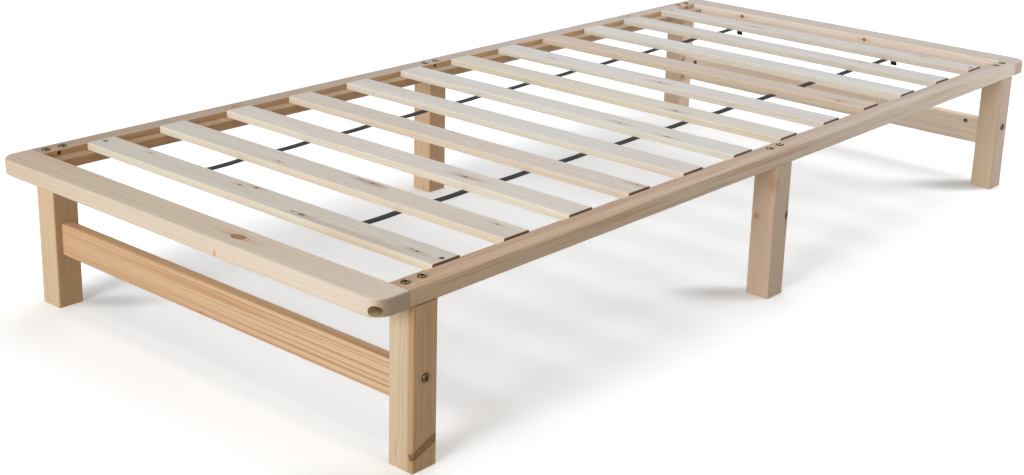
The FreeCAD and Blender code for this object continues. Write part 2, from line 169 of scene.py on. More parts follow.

# tone: screen colour of the plain wood, toneAfter: the same at the board's other end;
# pith: where the tree's middle is, mm off the board's own middle; tilt: its slope against the board;
# straight: share of the usual wander; lineLength and lineCross: fine lines per metre, along and across;
# lines: their strength, linesAfter: the same at the other end; wispReach: of the colour round the knots;
# knots: along, across, radius and stretch in mm off the board's own middle, then any lean in degrees,
# place through the board and depth; marks: the same, as a stain only;
# heartEdge: axis and two places in mm between which the heartwood's tint sets in;
# faces: axis, side (0 for both) and tint of the faces that look that way, and a height to stay below; these
# tints are painted light and shade;
# bores: along, through, radius, and where across the board the hole starts and stops
boards = {
    "end_rail_foot": dict(grain="y", tone=(220, 210, 197), toneAfter=(209, 193, 174), pith=(40, -55),
                          rings=0.45, blush=0.5, knots=[(-129, 2, 8.2, 1.7)],
                          knotHeart=fromScreen(170, 128, 90),
                          marks=[(-114, -30, 5, 1.0, 0, -8, 9)]),
    # head rail: painted shade on the faces that look up; its end grain tint holds painted shade too
    "end_rail_head": dict(grain="y", tone=(249, 241, 234), pith=(-35, -60), rings=0.5, blush=0.9,
                          faces=[(2, 1, (0.64, 0.66, 0.67, 1))], endGrainAndShade=(0.55, 0.47, 0.46, 1),
                          wisp=(0.98, 0.70, 0.54, 1),
                          knots=[(-75, -30, 4, 1.2, 0, 4, 4), (266, -30, 4, 1.3, 0, 4, 4)]),
    # near rail: painted shade on its inner, outer and top faces, by the tints of the faces that look that way
    "side_rail_near": dict(grain="x", tone=(214, 188, 162), toneAfter=(217, 212, 210), pith=(-30, -70),
                           tilt=(0.01, 0.015), ringPitch=3.4, rings=0.4, uneven=1.0, blush=0.9, straight=0.25,
                           lines=1.3, lineLength=4, lineCross=420,
                           heart=(1.12, 1.16, 1.12, 1), heartEdge=(1, -6, -13),
                           faces=[(1, 1, pine["inward"]), (1, -1, (0.88, 0.855, 0.84, 1)),
                                  (2, 1, (0.83, 0.80, 0.80, 1))]),
    # far rail: painted shade on the faces that look into the bed
    "side_rail_far": dict(grain="x", tone=(187, 168, 151), toneAfter=(206, 199, 196), pith=(35, -60),
                          tilt=(0.02, -0.03), rings=0.6, lines=0.7, lineLength=6, blush=0.7, straight=0.8,
                          faces=[(1, -1, pine["inward"])],
                          knots=[(-520, 8, 4, 1.3), (260, -10, 4, 1.2), (690, 12, 4, 1.2)]),
    "stretcher_foot": dict(grain="yOnEdge", tone=(212, 184, 155), toneAfter=(205, 171, 135), pith=(-14, 90),
                           ringPitch=5, rings=0.35, blush=0.3, straight=0.16,
                           lines=2.4, linesAfter=0.7, lineCross=330, lineLength=1.0,
                           faces=[(1, 1, (0.95, 0.90, 0.80, 1))], knots=[(28, -24, 1.6, 1.2)]),
    "stretcher_head": dict(grain="yOnEdge", tone=(252, 238, 223), pith=(24, -70), ringPitch=6, rings=0.3,
                           lines=0.3, lineCross=175, blush=0.9, straight=0.3, knots=[(-90, 6, 4, 2.2)]),
    # legs: the tints of the faces that look to the near side are painted light and shade
    "leg_foot_far": dict(tone=(207, 186, 157), pith=(38, 30), rings=0.25, lines=0.3, blush=0.5,
                         faces=[(2, -1, (0.89, 0.755, 0.63, 1))]),
    "leg_foot_near": dict(tone=(204, 187, 163), pith=(44, -36), rings=0.5, lines=0.6, blush=0.6,
                          heart=(0.80, 0.66, 0.48, 1), heartEdge=(2, -9, -17),
                          faces=[(2, -1, (1.22, 1.24, 1.35, 1))],
                          knotRim=fromScreen(114, 84, 58), knotHeart=fromScreen(146, 112, 78),
                          knots=[(-87.5, 8, 6.2, 9, 69, -24, 11)]),
    "leg_mid_far": dict(tone=(248, 218, 184), pith=(-40, 36), rings=0.3, lines=0.2, blush=0.6,
                        faces=[(2, -1, (0.73, 0.68, 0.62, 1))]),
    "leg_mid_near": dict(tone=(223, 201, 179), pith=(36, 44), rings=0.2, lines=0.2, blush=0.7,
                         faces=[(2, -1, (0.81, 0.85, 0.86, 1))],
                         knotRim=fromScreen(98, 72, 52), knotHeart=fromScreen(112, 82, 58),
                         knots=[(26, 17.5, 5, 1.4)], mark=(0.90, 0.74, 0.60, 1),
                         marks=[(26, -24, 10, 1.0, 0, 12, 10), (25, -24, 5.5, 0.9, 0, 13, 7),
                                (92, -24, 18, 1.2, 0, -16, 14)]),
    "leg_head_far": dict(tone=(230, 205, 182), pith=(42, -30), rings=0.2, lines=0.2, blush=0.6),
    "leg_head_near": dict(tone=(230, 209, 183), pith=(-46, -30), rings=0.15, lines=0.15, blush=0.5,
                          faces=[(2, -1, (0.66, 0.66, 0.75, 1))]),
}

# the round recess in each corner of the end rails, round its bolt, and the blind holes of the side rails,
# with painted light and shade inside them
recessGap = 1           # mm between a head and the wall round it
headLow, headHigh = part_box("corner_bolts")
headRadius = (headHigh.z - headLow.z) / 2 / mm
railLow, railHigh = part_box("end_rail_foot")
recessAt = headHigh.y / mm - headRadius
recessHeight = (headLow.z + headHigh.z - railLow.z - railHigh.z) / 2 / mm
for name in ("end_rail_foot", "end_rail_head"):
    boards[name]["bores"] = [(side * recessAt, recessHeight, headRadius + recessGap) for side in (-1, 1)]
sideLow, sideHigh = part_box("side_rail_near")
ledgeOver = 3           # mm above the ledge that its tint reaches
ledgeHeight = (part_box("slat_01")[0].z - (sideLow.z + sideHigh.z) / 2) / mm
# in mm off the rail's own middle; its two tints are painted shade, browner inside the blind holes
pegHole = {"radius": 4, "height": 8.5, "wall": 8, "depth": 18, "over": 1,
           "paintedBoreShading": [(1.5, 1.0, 0.5, 1), (1.3, 0.8, 0.35, 1)]}
for name, inner in (("side_rail_near", 1), ("side_rail_far", -1)):
    span = (inner * pegHole["wall"], inner * (pegHole["wall"] - pegHole["depth"] - pegHole["over"]))
    boards[name]["bores"] = [(sum(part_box(f"leg_{end}_near"), Vector()).x / 2 / mm, pegHole["height"],
                              pegHole["radius"], *span) for end in ("foot", "mid", "head")]
    boards[name]["paintedBoreShading"] = pegHole["paintedBoreShading"]
    # the ledge's top gets its tint, and the faces that look down get painted light that lifts the shade in
    # the groove at the leg tops
    boards[name]["faces"] += [(2, 1, pine["ledge"], ledgeHeight + ledgeOver), (2, -1, pine["under"])]
legLook = dict(grain="z", ringPitch=9, straight=0.6, seam=(1, 1, 1, 1), endGrainAndShade=(1, 1, 1, 1), streaks=0.1)
for name in boards:
    if name.startswith("leg"):
        boards[name].update(legLook)

slatLooks = {
    "tones": [
        (216, 213, 206), (219, 216, 210), (223, 221, 217), (219, 213, 208),
        (221, 220, 219), (222, 224, 224), (221, 217, 209), (220, 220, 222),
        (210, 199, 188), (219, 223, 225), (215, 217, 218), (215, 213, 212),
    ],
    "rings": 0.26, "ringSpread": (0.8, 1.25), "blush": (0.6, 1.0),
    "pithAside": 45, "pithOff": (30, 70),           # mm
    # what all of them share; the long narrow faces get painted light, lighter and yellower, and the end tint
    # is darker than end grain alone, painted shade of the gap at the rail's lip
    "shared": dict(grain="y", lines=0.4, seamWidth=0.5, wispReach=3.0, faces=[(1, 0, (1.12, 1.09, 0.99, 1))],
                   endGrainAndShade=(0.44, 0.29, 0.19, 1), wisp=(0.80, 0.70, 0.65, 1), mark=(0.90, 0.81, 0.77, 1),
                   knotRim=fromScreen(134, 110, 94), knotHeart=fromScreen(110, 86, 72)),
    # slat: knots as along, across, radius and stretch in mm off the slat's own middle
    "knots": {
        1: [(288, 12, 1.8, 1.2), (52, 10, 2.4, 1.2), (22, 18, 3.2, 1.2), (-104, -16, 2.0, 1.2),
            (-124, -16, 3.4, 2.2), (-345, -3, 1.6, 1.1), (-357, -5, 3.0, 1.1)],
        2: [(104, -15, 2.2, 1.2), (-60, 16, 1.8, 1.3), (-90, 15, 2.8, 1.4), (-360, 13, 2.4, 1.1)],
        3: [(-170, -3, 3.2, 1.6)],
        4: [(26, 25, 2.4, 1.2), (-392, 17, 2.2, 1.2)],
        5: [(-305, 35, 2.4, 1.2)],
        6: [(-145, -10, 2.6, 1.2), (-260, -20, 2.0, 5.0), (-317, 40, 2.2, 1.1)],
        7: [(92, -50, 2.2, 1.2), (-167, -15, 3.2, 1.2)],
        8: [(-17, -10, 3.0, 1.2), (268, -12, 2.2, 1.2)],
        9: [(-347, -15, 3.4, 1.2)],
        10: [(43, -35, 2.4, 1.2)],
        11: [(-210, 12, 2.4, 1.2)],
        12: [(150, -8, 2.6, 1.2), (-280, 15, 2.4, 1.2)],
    },
    "marks": {1: [(-255, -21, 15, 11)], 2: [(-90, 12, 12, 4)], 3: [(-170, 0, 14, 5)]},
}

slatNames = [f"slat_{number:02d}" for number in sorted(slatLooks["knots"])]
rng = np.random.default_rng(7)
for number, name in enumerate(slatNames, 1):
    aside = rng.uniform(-slatLooks["pithAside"], slatLooks["pithAside"])
    pith = (aside, rng.choice((-1, 1)) * rng.uniform(*slatLooks["pithOff"]))
    boards[name] = dict(
        tone=slatLooks["tones"][number - 1], pith=pith,
        rings=slatLooks["rings"] * rng.uniform(*slatLooks["ringSpread"]),
        blush=rng.uniform(*slatLooks["blush"]), knots=slatLooks["knots"][number],
        marks=slatLooks["marks"].get(number, []), **slatLooks["shared"])

# along, across and through the board: lengthwise, crosswise, crosswise on edge, upright
grainOrder = {"x": (0, 1, 2), "y": (1, 0, 2), "yOnEdge": (1, 2, 0), "z": (2, 0, 1)}


def knotField(tree, point, along, across, radius, stretch, lean=0, through=0, depth=1000):
    # distance from the knot's middle, in its own radii, on an oval that may lean out of the grain
    node = tree.nodes.new("ShaderNodeMapping")
    node.vector_type = "TEXTURE"
    plug(tree, node.inputs["Vector"], point)
    node.inputs["Location"].default_value = (along * mm, across * mm, through * mm)
    node.inputs["Rotation"].default_value = (0, 0, math.radians(lean))
    node.inputs["Scale"].default_value = (radius * stretch * mm, radius * mm, depth * mm)
    return calcVector(tree, "LENGTH", node.outputs[0])


def nearest(tree, fields):
    least = fields[0]
    for field in fields[1:]:
        least = calc(tree, "MINIMUM", least, field)
    return least


def tinted(tree, share, colour, tint):
    return mixed(tree, share, colour, mixed(tree, 1.0, colour, tint, "MULTIPLY"))


def combined(tree, *parts):
    node = tree.nodes.new("ShaderNodeCombineXYZ")
    for socket, value in zip(node.inputs, parts):
        plug(tree, socket, value)
    return node.outputs[0]


def pineMaterial(name, look, seed):
    # ring number = distance from the pith, bent by slow and small noise and pushed out round the knots
    look = {**pine, **look}
    material, tree, shader = newMaterial("pine_" + name)
    low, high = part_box(name)
    coords = tree.nodes.new("ShaderNodeTexCoord")
    local = calcVector(tree, "SUBTRACT", coords.outputs["Object"], tuple((low + high) / 2))
    apart = tree.nodes.new("ShaderNodeSeparateXYZ")
    plug(tree, apart.inputs[0], local)
    order = grainOrder[look["grain"]]
    axes = [apart.outputs[axis] for axis in order]
    along, across, through = axes
    length = (high - low)[order[0]]
    point = combined(tree, *axes)
    shifted = calcVector(tree, "ADD", point, (seed * 3.7, seed * 1.3, 0))

    def stretched(lengthwise, crosswise, detail=2.0, roughness=0.5):
        # noise drawn out along the grain, in features per metre
        scaled = calcVector(tree, "MULTIPLY", shifted, (lengthwise, crosswise, crosswise))
        return noise(tree, scaled, 1.0, detail, roughness)

    slow, small = stretched(*look["slowNoise"]), stretched(*look["smallNoise"])
    fibre = stretched(*look["fibreNoise"])["Fac"]
    line = stretched(look["lineLength"], look["lineCross"])["Fac"]
    streak = stretched(*look["streakNoise"])["Fac"]
    band = stretched(*look["bandNoise"])["Fac"]
    blotch = stretched(*look["blotchNoise"])["Fac"]
    grit = noise(tree, shifted, look["gritNoise"])["Fac"]

    def offCentre(colour, size):
        centred = calcVector(tree, "SUBTRACT", colour, (0.5, 0.5, 0.5))
        return calcVector(tree, "MULTIPLY", centred, (0, size, size))

    bend = offCentre(slow["Color"], 2 * look["wander"] * look["straight"])
    ripple = offCentre(small["Color"], 2 * look["wobble"] * look["straight"])
    slope = calcVector(tree, "MULTIPLY", combined(tree, along, along, along), (0, *look["tilt"]))
    flat = calcVector(tree, "MULTIPLY", point, (0, 1, 1))
    fromPith = calcVector(tree, "ADD", flat, (0, look["pith"][0] * mm, look["pith"][1] * mm))
    for push in (bend, ripple, slope):
        fromPith = calcVector(tree, "ADD", fromPith, push)
    ringNumber = calc(tree, "DIVIDE", calcVector(tree, "LENGTH", fromPith), look["ringPitch"] * mm)
    ringNumber = calc(tree, "MULTIPLY_ADD", band, look["uneven"], ringNumber)
    if look["knots"]:
        knots = nearest(tree, [knotField(tree, point, *knot) for knot in look["knots"]])
        faded = calc(tree, "MULTIPLY", calc(tree, "POWER", knots, 2.0), -look["swellFade"])
        ringNumber = calc(tree, "MULTIPLY_ADD", calc(tree, "EXPONENT", faded), look["swell"], ringNumber)
    year = calc(tree, "FRACT", ringNumber)
    rise, fall = spread(tree, year, *look["lateRise"]), spread(tree, year, *look["lateFall"])
    late = calc(tree, "MULTIPLY", rise, fall)

    colour = fromScreen(*look["tone"])
    if "toneAfter" in look:
        share = calc(tree, "MULTIPLY_ADD", along, 1 / length, 0.5, clamp=True)
        colour = mixed(tree, share, colour, fromScreen(*look["toneAfter"]))
    patchy = spread(tree, streak, *look["patchSpan"])
    patchy = calc(tree, "MULTIPLY_ADD", patchy, look["lateMore"], look["lateLeast"])
    lateShare = calc(tree, "MULTIPLY", calc(tree, "MULTIPLY", late, patchy), look["rings"], clamp=True)
    colour = tinted(tree, lateShare, colour, look["lateWood"])
    cloud = calc(tree, "MULTIPLY_ADD", blotch, 0.5, calc(tree, "MULTIPLY", band, 0.5))
    hue = spread(tree, cloud, *look["hueSpan"])
    colour = tinted(tree, look["blush"], colour, mixed(tree, hue, look["straw"], look["pink"]))
    linesBefore, linesAfter = look["lines"], look.get("linesAfter", look["lines"])
    change, usual = (linesAfter - linesBefore) / length, (linesAfter + linesBefore) / 2
    lines = calc(tree, "MULTIPLY_ADD", along, change, usual)
    lineShare = calc(tree, "MULTIPLY", spread(tree, line, *look["lineSpan"]), lines)
    colour = tinted(tree, calc(tree, "MULTIPLY", lineShare, streak, clamp=True), colour, look["line"])
    plain = calc(tree, "MULTIPLY_ADD", streak, look["streaks"], look["plain"] - look["streaks"] / 2)
    light = calc(tree, "MULTIPLY_ADD", fibre, look["fibres"], plain)
    colour = mixed(tree, 1.0, colour, light, "MULTIPLY")
    if "heartEdge" in look:
        axis, start, stop = look["heartEdge"]
        colour = tinted(tree, spread(tree, axes[axis], start * mm, stop * mm), colour, look["heart"])
    for mark in look["marks"]:
        colour = tinted(tree, spread(tree, knotField(tree, point, *mark), 1.0, 0.3), colour, look["mark"])

    if look["knots"]:
        # the wisp round a knot is the same oval, wider and much longer
        times, more = look["wispLong"]
        ovals = [(place, side, look["wispReach"] * radius, times * stretch + more, *rest)
                 for place, side, radius, stretch, *rest in look["knots"]]
        wisps = nearest(tree, [knotField(tree, point, *oval) for oval in ovals])
        torn = calc(tree, "MULTIPLY_ADD", streak, look["wispRagged"], -look["wispRagged"] / 2)
        drawn = calc(tree, "ADD", wisps, torn)
        colour = tinted(tree, spread(tree, drawn, 1.0, 0.1), colour, look["wisp"])
        rough = calc(tree, "MULTIPLY_ADD", grit, look["knotRagged"], -look["knotRagged"] / 2)
        ragged = calc(tree, "ADD", knots, rough)
        heart = mixed(tree, spread(tree, ragged, 0.5, 0.92), look["knotHeart"], look["knotRim"])
        colour = mixed(tree, spread(tree, ragged, 1.15, 0.85), colour, heart)

    facing = tree.nodes.new("ShaderNodeSeparateXYZ")
    plug(tree, facing.inputs[0], coords.outputs["Normal"])
    sawn = spread(tree, calc(tree, "ABSOLUTE", facing.outputs[order[0]]), 0.45, 0.95)
    # darker end grain; on the slats and the head rail it is also painted shade
    colour = tinted(tree, sawn, colour, look["endGrainAndShade"])
    # painted light and shade: faces tinted by the way they look
    for axis, side, tint, *below in look["faces"]:
        turned = facing.outputs[order[axis]]
        turned = calc(tree, "MULTIPLY", turned, side) if side else calc(tree, "ABSOLUTE", turned)
        share = spread(tree, turned, 0.4, 0.9)
        if below:
            share = calc(tree, "MULTIPLY", share, spread(tree, through, (below[0] + 1) * mm, below[0] * mm))
        colour = tinted(tree, share, colour, tint)
    fromEnd = calc(tree, "SUBTRACT", length / 2, calc(tree, "ABSOLUTE", along))
    seam = spread(tree, fromEnd, look["seamWidth"] * mm, 0.2 * mm)
    colour = tinted(tree, calc(tree, "MULTIPLY", seam, spread(tree, sawn, 0.5, 0.1)), colour, look["seam"])
    # painted light at the mouth of each hole and painted shade deep down
    if look["bores"]:
        depth = spread(tree, calc(tree, "ABSOLUTE", across), *(place * mm for place in look["paintedBoreShadingDepth"]))
        boreShading = mixed(tree, depth, *look["paintedBoreShading"])
        for place, height, radius, *span in look["bores"]:
            away = calcVector(tree, "SUBTRACT", combined(tree, along, through, 0),
                              (place * mm, height * mm, 0))
            inside = spread(tree, calcVector(tree, "LENGTH", away), (radius + 0.4) * mm, (radius + 0.1) * mm)
            if span:
                middle, reach = (span[0] + span[1]) / 2 * mm, abs(span[1] - span[0]) / 2 * mm
                off = calc(tree, "ABSOLUTE", calc(tree, "SUBTRACT", across, middle))
                inside = calc(tree, "MULTIPLY", inside, spread(tree, off, reach + 0.4 * mm, reach))
            colour = tinted(tree, inside, colour, boreShading)
    plug(tree, shader.inputs["Base Color"], colour)
    plug(tree, shader.inputs["Roughness"],
         calc(tree, "MULTIPLY_ADD", fibre, look["glossSpread"], look["roughness"] - look["glossSpread"] / 2))
    shader.inputs["Specular IOR Level"].default_value = look["specular"]
    bumped(tree, shader, calc(tree, "MULTIPLY_ADD", late, -0.5, fibre), *look["bump"])
    return material


def dress(name, material):
    slots = nodes[name].data.materials
    slots.clear()
    slots.append(material)


for seed, (name, look) in enumerate(boards.items(), 1):
    dress(name, pineMaterial(name, look, seed))
print("pine on", len(boards), "boards")


# metals, dowel wood and webbing

plating = {"tarnish": (260, 3.0, 0.6), "tarnishSpan": (0.35, 0.7), "scuff": 1900,
           "dulling": 0.25, "shine": 0.12, "bump": (0.15, 0.05 * mm)}


def metalMaterial(name, tone, dull, roughness):
    # plating with slow tarnish and a fine scuffed bump
    material, tree, shader = newMaterial(name)
    coords = tree.nodes.new("ShaderNodeTexCoord").outputs["Object"]
    tarnish = noise(tree, coords, *plating["tarnish"])[0]
    scuff = noise(tree, coords, plating["scuff"])[0]
    plug(tree, shader.inputs["Base Color"],
         mixed(tree, spread(tree, tarnish, *plating["tarnishSpan"]), tone, dull))
    plug(tree, shader.inputs["Roughness"],
         calc(tree, "MULTIPLY_ADD", tarnish, plating["dulling"], roughness - plating["shine"]))
    shader.inputs["Metallic"].default_value = 1.0
    bumped(tree, shader, scuff, *plating["bump"])
    return material


brass = metalMaterial("brass_plating", fromScreen(160, 143, 108), fromScreen(100, 85, 60), 0.20)
darkBrass = metalMaterial("dark_brass", fromScreen(112, 98, 74), fromScreen(78, 68, 50), 0.42)
dullZinc = metalMaterial("dull_zinc", fromScreen(156, 142, 122), fromScreen(104, 92, 76), 0.42)
zinc = metalMaterial("zinc_plating", fromScreen(200, 202, 200), fromScreen(158, 160, 160), 0.36)


def dowelMaterial():
    # turned hardwood with fine flecks
    material, tree, shader = newMaterial("dowel_wood")
    coords = tree.nodes.new("ShaderNodeTexCoord").outputs["Object"]
    fleck = noise(tree, calcVector(tree, "MULTIPLY", coords, (300, 300, 300)), 1.0, 3.0)[0]
    plug(tree, shader.inputs["Base Color"],
         mixed(tree, spread(tree, fleck, 0.3, 0.7), fromScreen(222, 190, 148), fromScreen(194, 156, 112)))
    shader.inputs["Roughness"].default_value = 0.6
    bumped(tree, shader, fleck, 0.2, 0.2 * mm)
    return material


webbing = {
    "thread": fromScreen(46, 44, 45),
    "gap": fromScreen(22, 21, 22),
    "rib": 1.1 * mm,        # one rib of the weave along the strap
    "yarn": 1.4 * mm,       # one yarn across it
    "fuzz": 2600, "fuzzShare": 0.3, "roughness": 0.85, "sheen": 0.06, "bump": (0.6, 0.3 * mm),
}


def webbingMaterial():
    # plain weave on the strap's own map, in metres: two waves that cross at right angles
    material, tree, shader = newMaterial("black_webbing")
    place = tree.nodes.new("ShaderNodeUVMap")
    place.uv_map = "weave"
    apart = tree.nodes.new("ShaderNodeSeparateXYZ")
    plug(tree, apart.inputs[0], place.outputs[0])
    turns = [calc(tree, "MULTIPLY", apart.outputs[axis], 2 * math.pi / pitch)
             for axis, pitch in ((0, webbing["rib"]), (1, webbing["yarn"]))]
    waves = [calc(tree, "SINE", turn) for turn in turns]
    weave = calc(tree, "MULTIPLY_ADD", calc(tree, "MULTIPLY", waves[0], waves[1]), 0.5, 0.5)
    fuzz = noise(tree, place.outputs[0], webbing["fuzz"])[0]
    thread = calc(tree, "MULTIPLY", weave, 1 - webbing["fuzzShare"])
    high = calc(tree, "MULTIPLY_ADD", fuzz, webbing["fuzzShare"], thread)
    plug(tree, shader.inputs["Base Color"], mixed(tree, high, webbing["gap"], webbing["thread"]))
    shader.inputs["Roughness"].default_value = webbing["roughness"]
    shader.inputs["Sheen Weight"].default_value = webbing["sheen"]
    bumped(tree, shader, high, *webbing["bump"])
    return material


blackWebbing = webbingMaterial()
for name in ("leg_bolts", "corner_bolts", "stretcher_bolts"):
    dress(name, brass)
dress("slat_screws", darkBrass)
dress("barrel_nuts", dullZinc)
for name in ("strap_near", "strap_far"):
    dress(name, blackWebbing)
dowelWood = dowelMaterial()
for name in ("corner_dowels", "stretcher_dowels"):
    dress(name, dowelWood)
print("metals, dowels and webbing ready")


# new pieces: every one is a grid of points, rows by columns, closed round its columns

def gridFaces(rows, columns):
    # quads between neighbouring rows; the last column joins the first
    row, column = np.meshgrid(np.arange(rows - 1), np.arange(columns), indexing="ij")
    after = (column + 1) % columns
    quads = np.stack((row * columns + column, row * columns + after,
                      (row + 1) * columns + after, (row + 1) * columns + column), axis=-1)
    return quads.reshape(-1, 4)


def pieceFrom(name, points, faces, material, uv=None):
    mesh = bpy.data.meshes.new(name)
    faceList = faces if isinstance(faces, list) else faces.tolist()
    mesh.from_pydata(points.reshape(-1, 3).tolist(), [], faceList)
    if uv is not None:
        corner = np.zeros(len(mesh.loops), np.int32)
        mesh.loops.foreach_get("vertex_index", corner)
        layer = mesh.uv_layers.new(name="weave")
        layer.data.foreach_set("uv", uv.reshape(-1, 2)[corner].ravel())
    mesh.materials.append(material)
    mesh.validate()
    piece = bpy.data.objects.new(name, mesh)
    scene.collection.objects.link(piece)
    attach(piece, "root")
    return piece


def smooth(piece, angle):
    # soft shading, with the edges that turn more than the angle kept crisp
    piece.data.polygons.foreach_set("use_smooth", np.ones(len(piece.data.polygons), bool))
    piece.data.set_sharp_from_angle(angle=math.radians(angle))


def copiesAt(points, faces, spots):
    # one shape carried to many seats; each spot is a seat and a 3 by 3 turn
    count = len(points)
    moved = np.concatenate([points @ turn.T + seat for seat, turn in spots])
    joined = np.concatenate([faces + count * number for number in range(len(spots))])
    return moved, joined


def pointing(direction):
    # a turn that lays the shape's own +Z along the direction
    way = np.array(direction, float)
    side = np.cross(way, (0, 0, 1) if abs(way[2]) < 0.5 else (1, 0, 0))
    side /= np.linalg.norm(side)
    return np.stack((side, np.cross(way, side), way), axis=1)


# connector bolts: a dished head with a hexagon socket, on a plain shank

bolt = {
    "headRadius": 7.0 * mm, "headThick": 2.5 * mm, "rim": 1.0 * mm, "ease": 0.2 * mm,
    "shankRadius": 3.0 * mm, "tip": 0.8 * mm,
    "socketRadius": 3.0 * mm, "socketDepth": 2.0 * mm, "socketBevel": 0.3 * mm,
    "socketCone": 0.6 * mm,         # left by the drill in the socket's floor
    "socketMouth": 1.12, "coneTip": 0.25, "socketFit": 1.06,           # shares of the socket's radius
    "columns": 48, "rimSteps": 6, "crease": 35,
}


def boltShape(length):
    # radius and height of each ring from the shank's tip to the socket's floor; +Z points into the wood;
    # a socket ring follows a hexagon: flat distance over the cosine of the angle from the flat's middle
    head, thick, rim, ease = (bolt[key] for key in ("headRadius", "headThick", "rim", "ease"))
    shank, tip, socket = (bolt[key] for key in ("shankRadius", "tip", "socketRadius"))
    bottom = bolt["socketDepth"] - thick
    turn = np.linspace(0, math.pi / 2, bolt["rimSteps"])
    ringRadius = [0.0, shank - tip, shank, shank, head - ease, head]
    ringHeight = [length, length, length - tip, 0.0, 0.0, -ease]
    ringRadius += list(head - rim + rim * np.cos(turn))
    ringHeight += list(-thick + rim - rim * np.sin(turn))
    plain = len(ringRadius)
    ringRadius += [socket * bolt["socketMouth"], socket, socket, socket * bolt["coneTip"], 0.0]
    ringHeight += [-thick, -thick + bolt["socketBevel"], bottom] + [bottom + bolt["socketCone"]] * 2
    angle = np.arange(bolt["columns"]) * 2 * math.pi / bolt["columns"]
    sixth = math.pi / 3
    hexagon = math.cos(sixth / 2) / np.cos((angle + sixth / 2) % sixth - sixth / 2)
    radius = np.array(ringRadius)[:, None] * np.ones_like(angle)
    radius[plain:] *= hexagon * bolt["socketFit"]
    height = np.array(ringHeight)[:, None] * np.ones_like(angle)
    points = np.stack((radius * np.cos(angle), radius * np.sin(angle), height), axis=-1)
    return points.reshape(-1, 3), gridFaces(len(ringRadius), bolt["columns"])


legNames = [f"leg_{end}_{side}" for end in ("foot", "mid", "head") for side in ("near", "far")]
legMiddle = {name: np.array((sum(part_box(name), Vector())) / 2) for name in legNames}
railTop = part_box("side_rail_near")[1].z
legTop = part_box("leg_mid_near")[1].z
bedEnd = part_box("end_rail_head")[1].x
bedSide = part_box("side_rail_far")[1].y
boltLow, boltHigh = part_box("stretcher_bolts")

boltSeats = {
    "legLength": 70 * mm, "cornerLength": 75 * mm, "stretcherLength": 95 * mm,
    "legHalf": 16 * mm,             # each of the two over a leg, off the leg's middle
    # seats in the corners, off the bed's end, its side and the tops of the legs
    "cornerDeep": 30 * mm, "cornerIn": 12 * mm, "cornerRise": 9.5 * mm,
}

boltPlaces = {
    "leg_bolts": dict(length=boltSeats["legLength"], spots=[
        (np.array((legMiddle[name][0] + hand * boltSeats["legHalf"], legMiddle[name][1], railTop)),
         (0, 0, -1))
        for name in legNames for hand in (-1, 1)]),
    "corner_bolts": dict(length=boltSeats["cornerLength"], spots=[
        (np.array((end * (bedEnd - boltSeats["cornerDeep"]), side * (bedSide - boltSeats["cornerIn"]),
                   legTop + boltSeats["cornerRise"])), (-end, 0, 0))
        for end in (-1, 1) for side in (-1, 1)]),
    "stretcher_bolts": dict(length=boltSeats["stretcherLength"], spots=[
        (np.array((legMiddle[name][0], np.sign(legMiddle[name][1]) * bedSide, (boltLow.z + boltHigh.z) / 2)),
         (0, -np.sign(legMiddle[name][1]), 0))
        for name in legNames if "mid" not in name]),
}
for name, places in boltPlaces.items():
    points, faces = copiesAt(*boltShape(places["length"]),
                             [(seat, pointing(way)) for seat, way in places["spots"]])
    piece = pieceFrom(name + "_turned", points, faces, brass)
    smooth(piece, bolt["crease"])
    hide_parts(name)
print("bolts made")


# slat screws: flat heads with a cross recess

screw = {
    "headRadius": 4.5 * mm, "headDepth": 2.5 * mm,
    "shankRadius": 1.75 * mm, "length": 24 * mm, "point": 5 * mm,
    "rimIn": 0.3 * mm, "rimFoot": 0.5 * mm, "rimEdge": 0.2 * mm,            # the eased edge of the head
    "armLength": 2.1 * mm, "armHalf": 0.45 * mm, "armEdge": 0.15 * mm, "recess": 1.4 * mm,
    "columns": 64, "topRings": 14, "crease": 40,
    "lip": 38 * mm, "ledge": 22 * mm, "ledgeShare": 0.6,            # place in from the rail's side
}


def screwShape():
    # rings from the tip up to the rim, then the top as a height over radius and angle with a cross pressed in
    shank, head, deep = screw["shankRadius"], screw["headRadius"], screw["headDepth"]
    radius = [0.0, shank, shank, head - screw["rimIn"], head]
    height = [screw["length"], screw["length"] - screw["point"], 0.0,
              -deep + screw["rimFoot"], -deep + screw["rimEdge"]]
    inward = np.linspace(head - screw["rimEdge"], 0.0, screw["topRings"])
    level = np.full(screw["topRings"], -deep)
    angle = np.arange(screw["columns"]) * 2 * math.pi / screw["columns"]
    ringRadius = np.concatenate((radius, inward))[:, None] * np.ones_like(angle)
    ringHeight = np.concatenate((height, level))[:, None] * np.ones_like(angle)
    x, y = ringRadius * np.cos(angle), ringRadius * np.sin(angle)

    def within(distance, limit):
        # a soft step: 1 inside the limit, 0 outside
        return 1 / (1 + np.exp((np.abs(distance) - limit) / screw["armEdge"] * 2))

    arms = [within(across, screw["armHalf"]) * within(along, screw["armLength"])
            for along, across in ((x, y), (y, x))]
    ringHeight[len(radius):] += screw["recess"] * np.maximum(*arms)[len(radius):]
    points = np.stack((x, y, ringHeight), axis=-1)
    return points.reshape(-1, 3), gridFaces(len(ringRadius), screw["columns"])


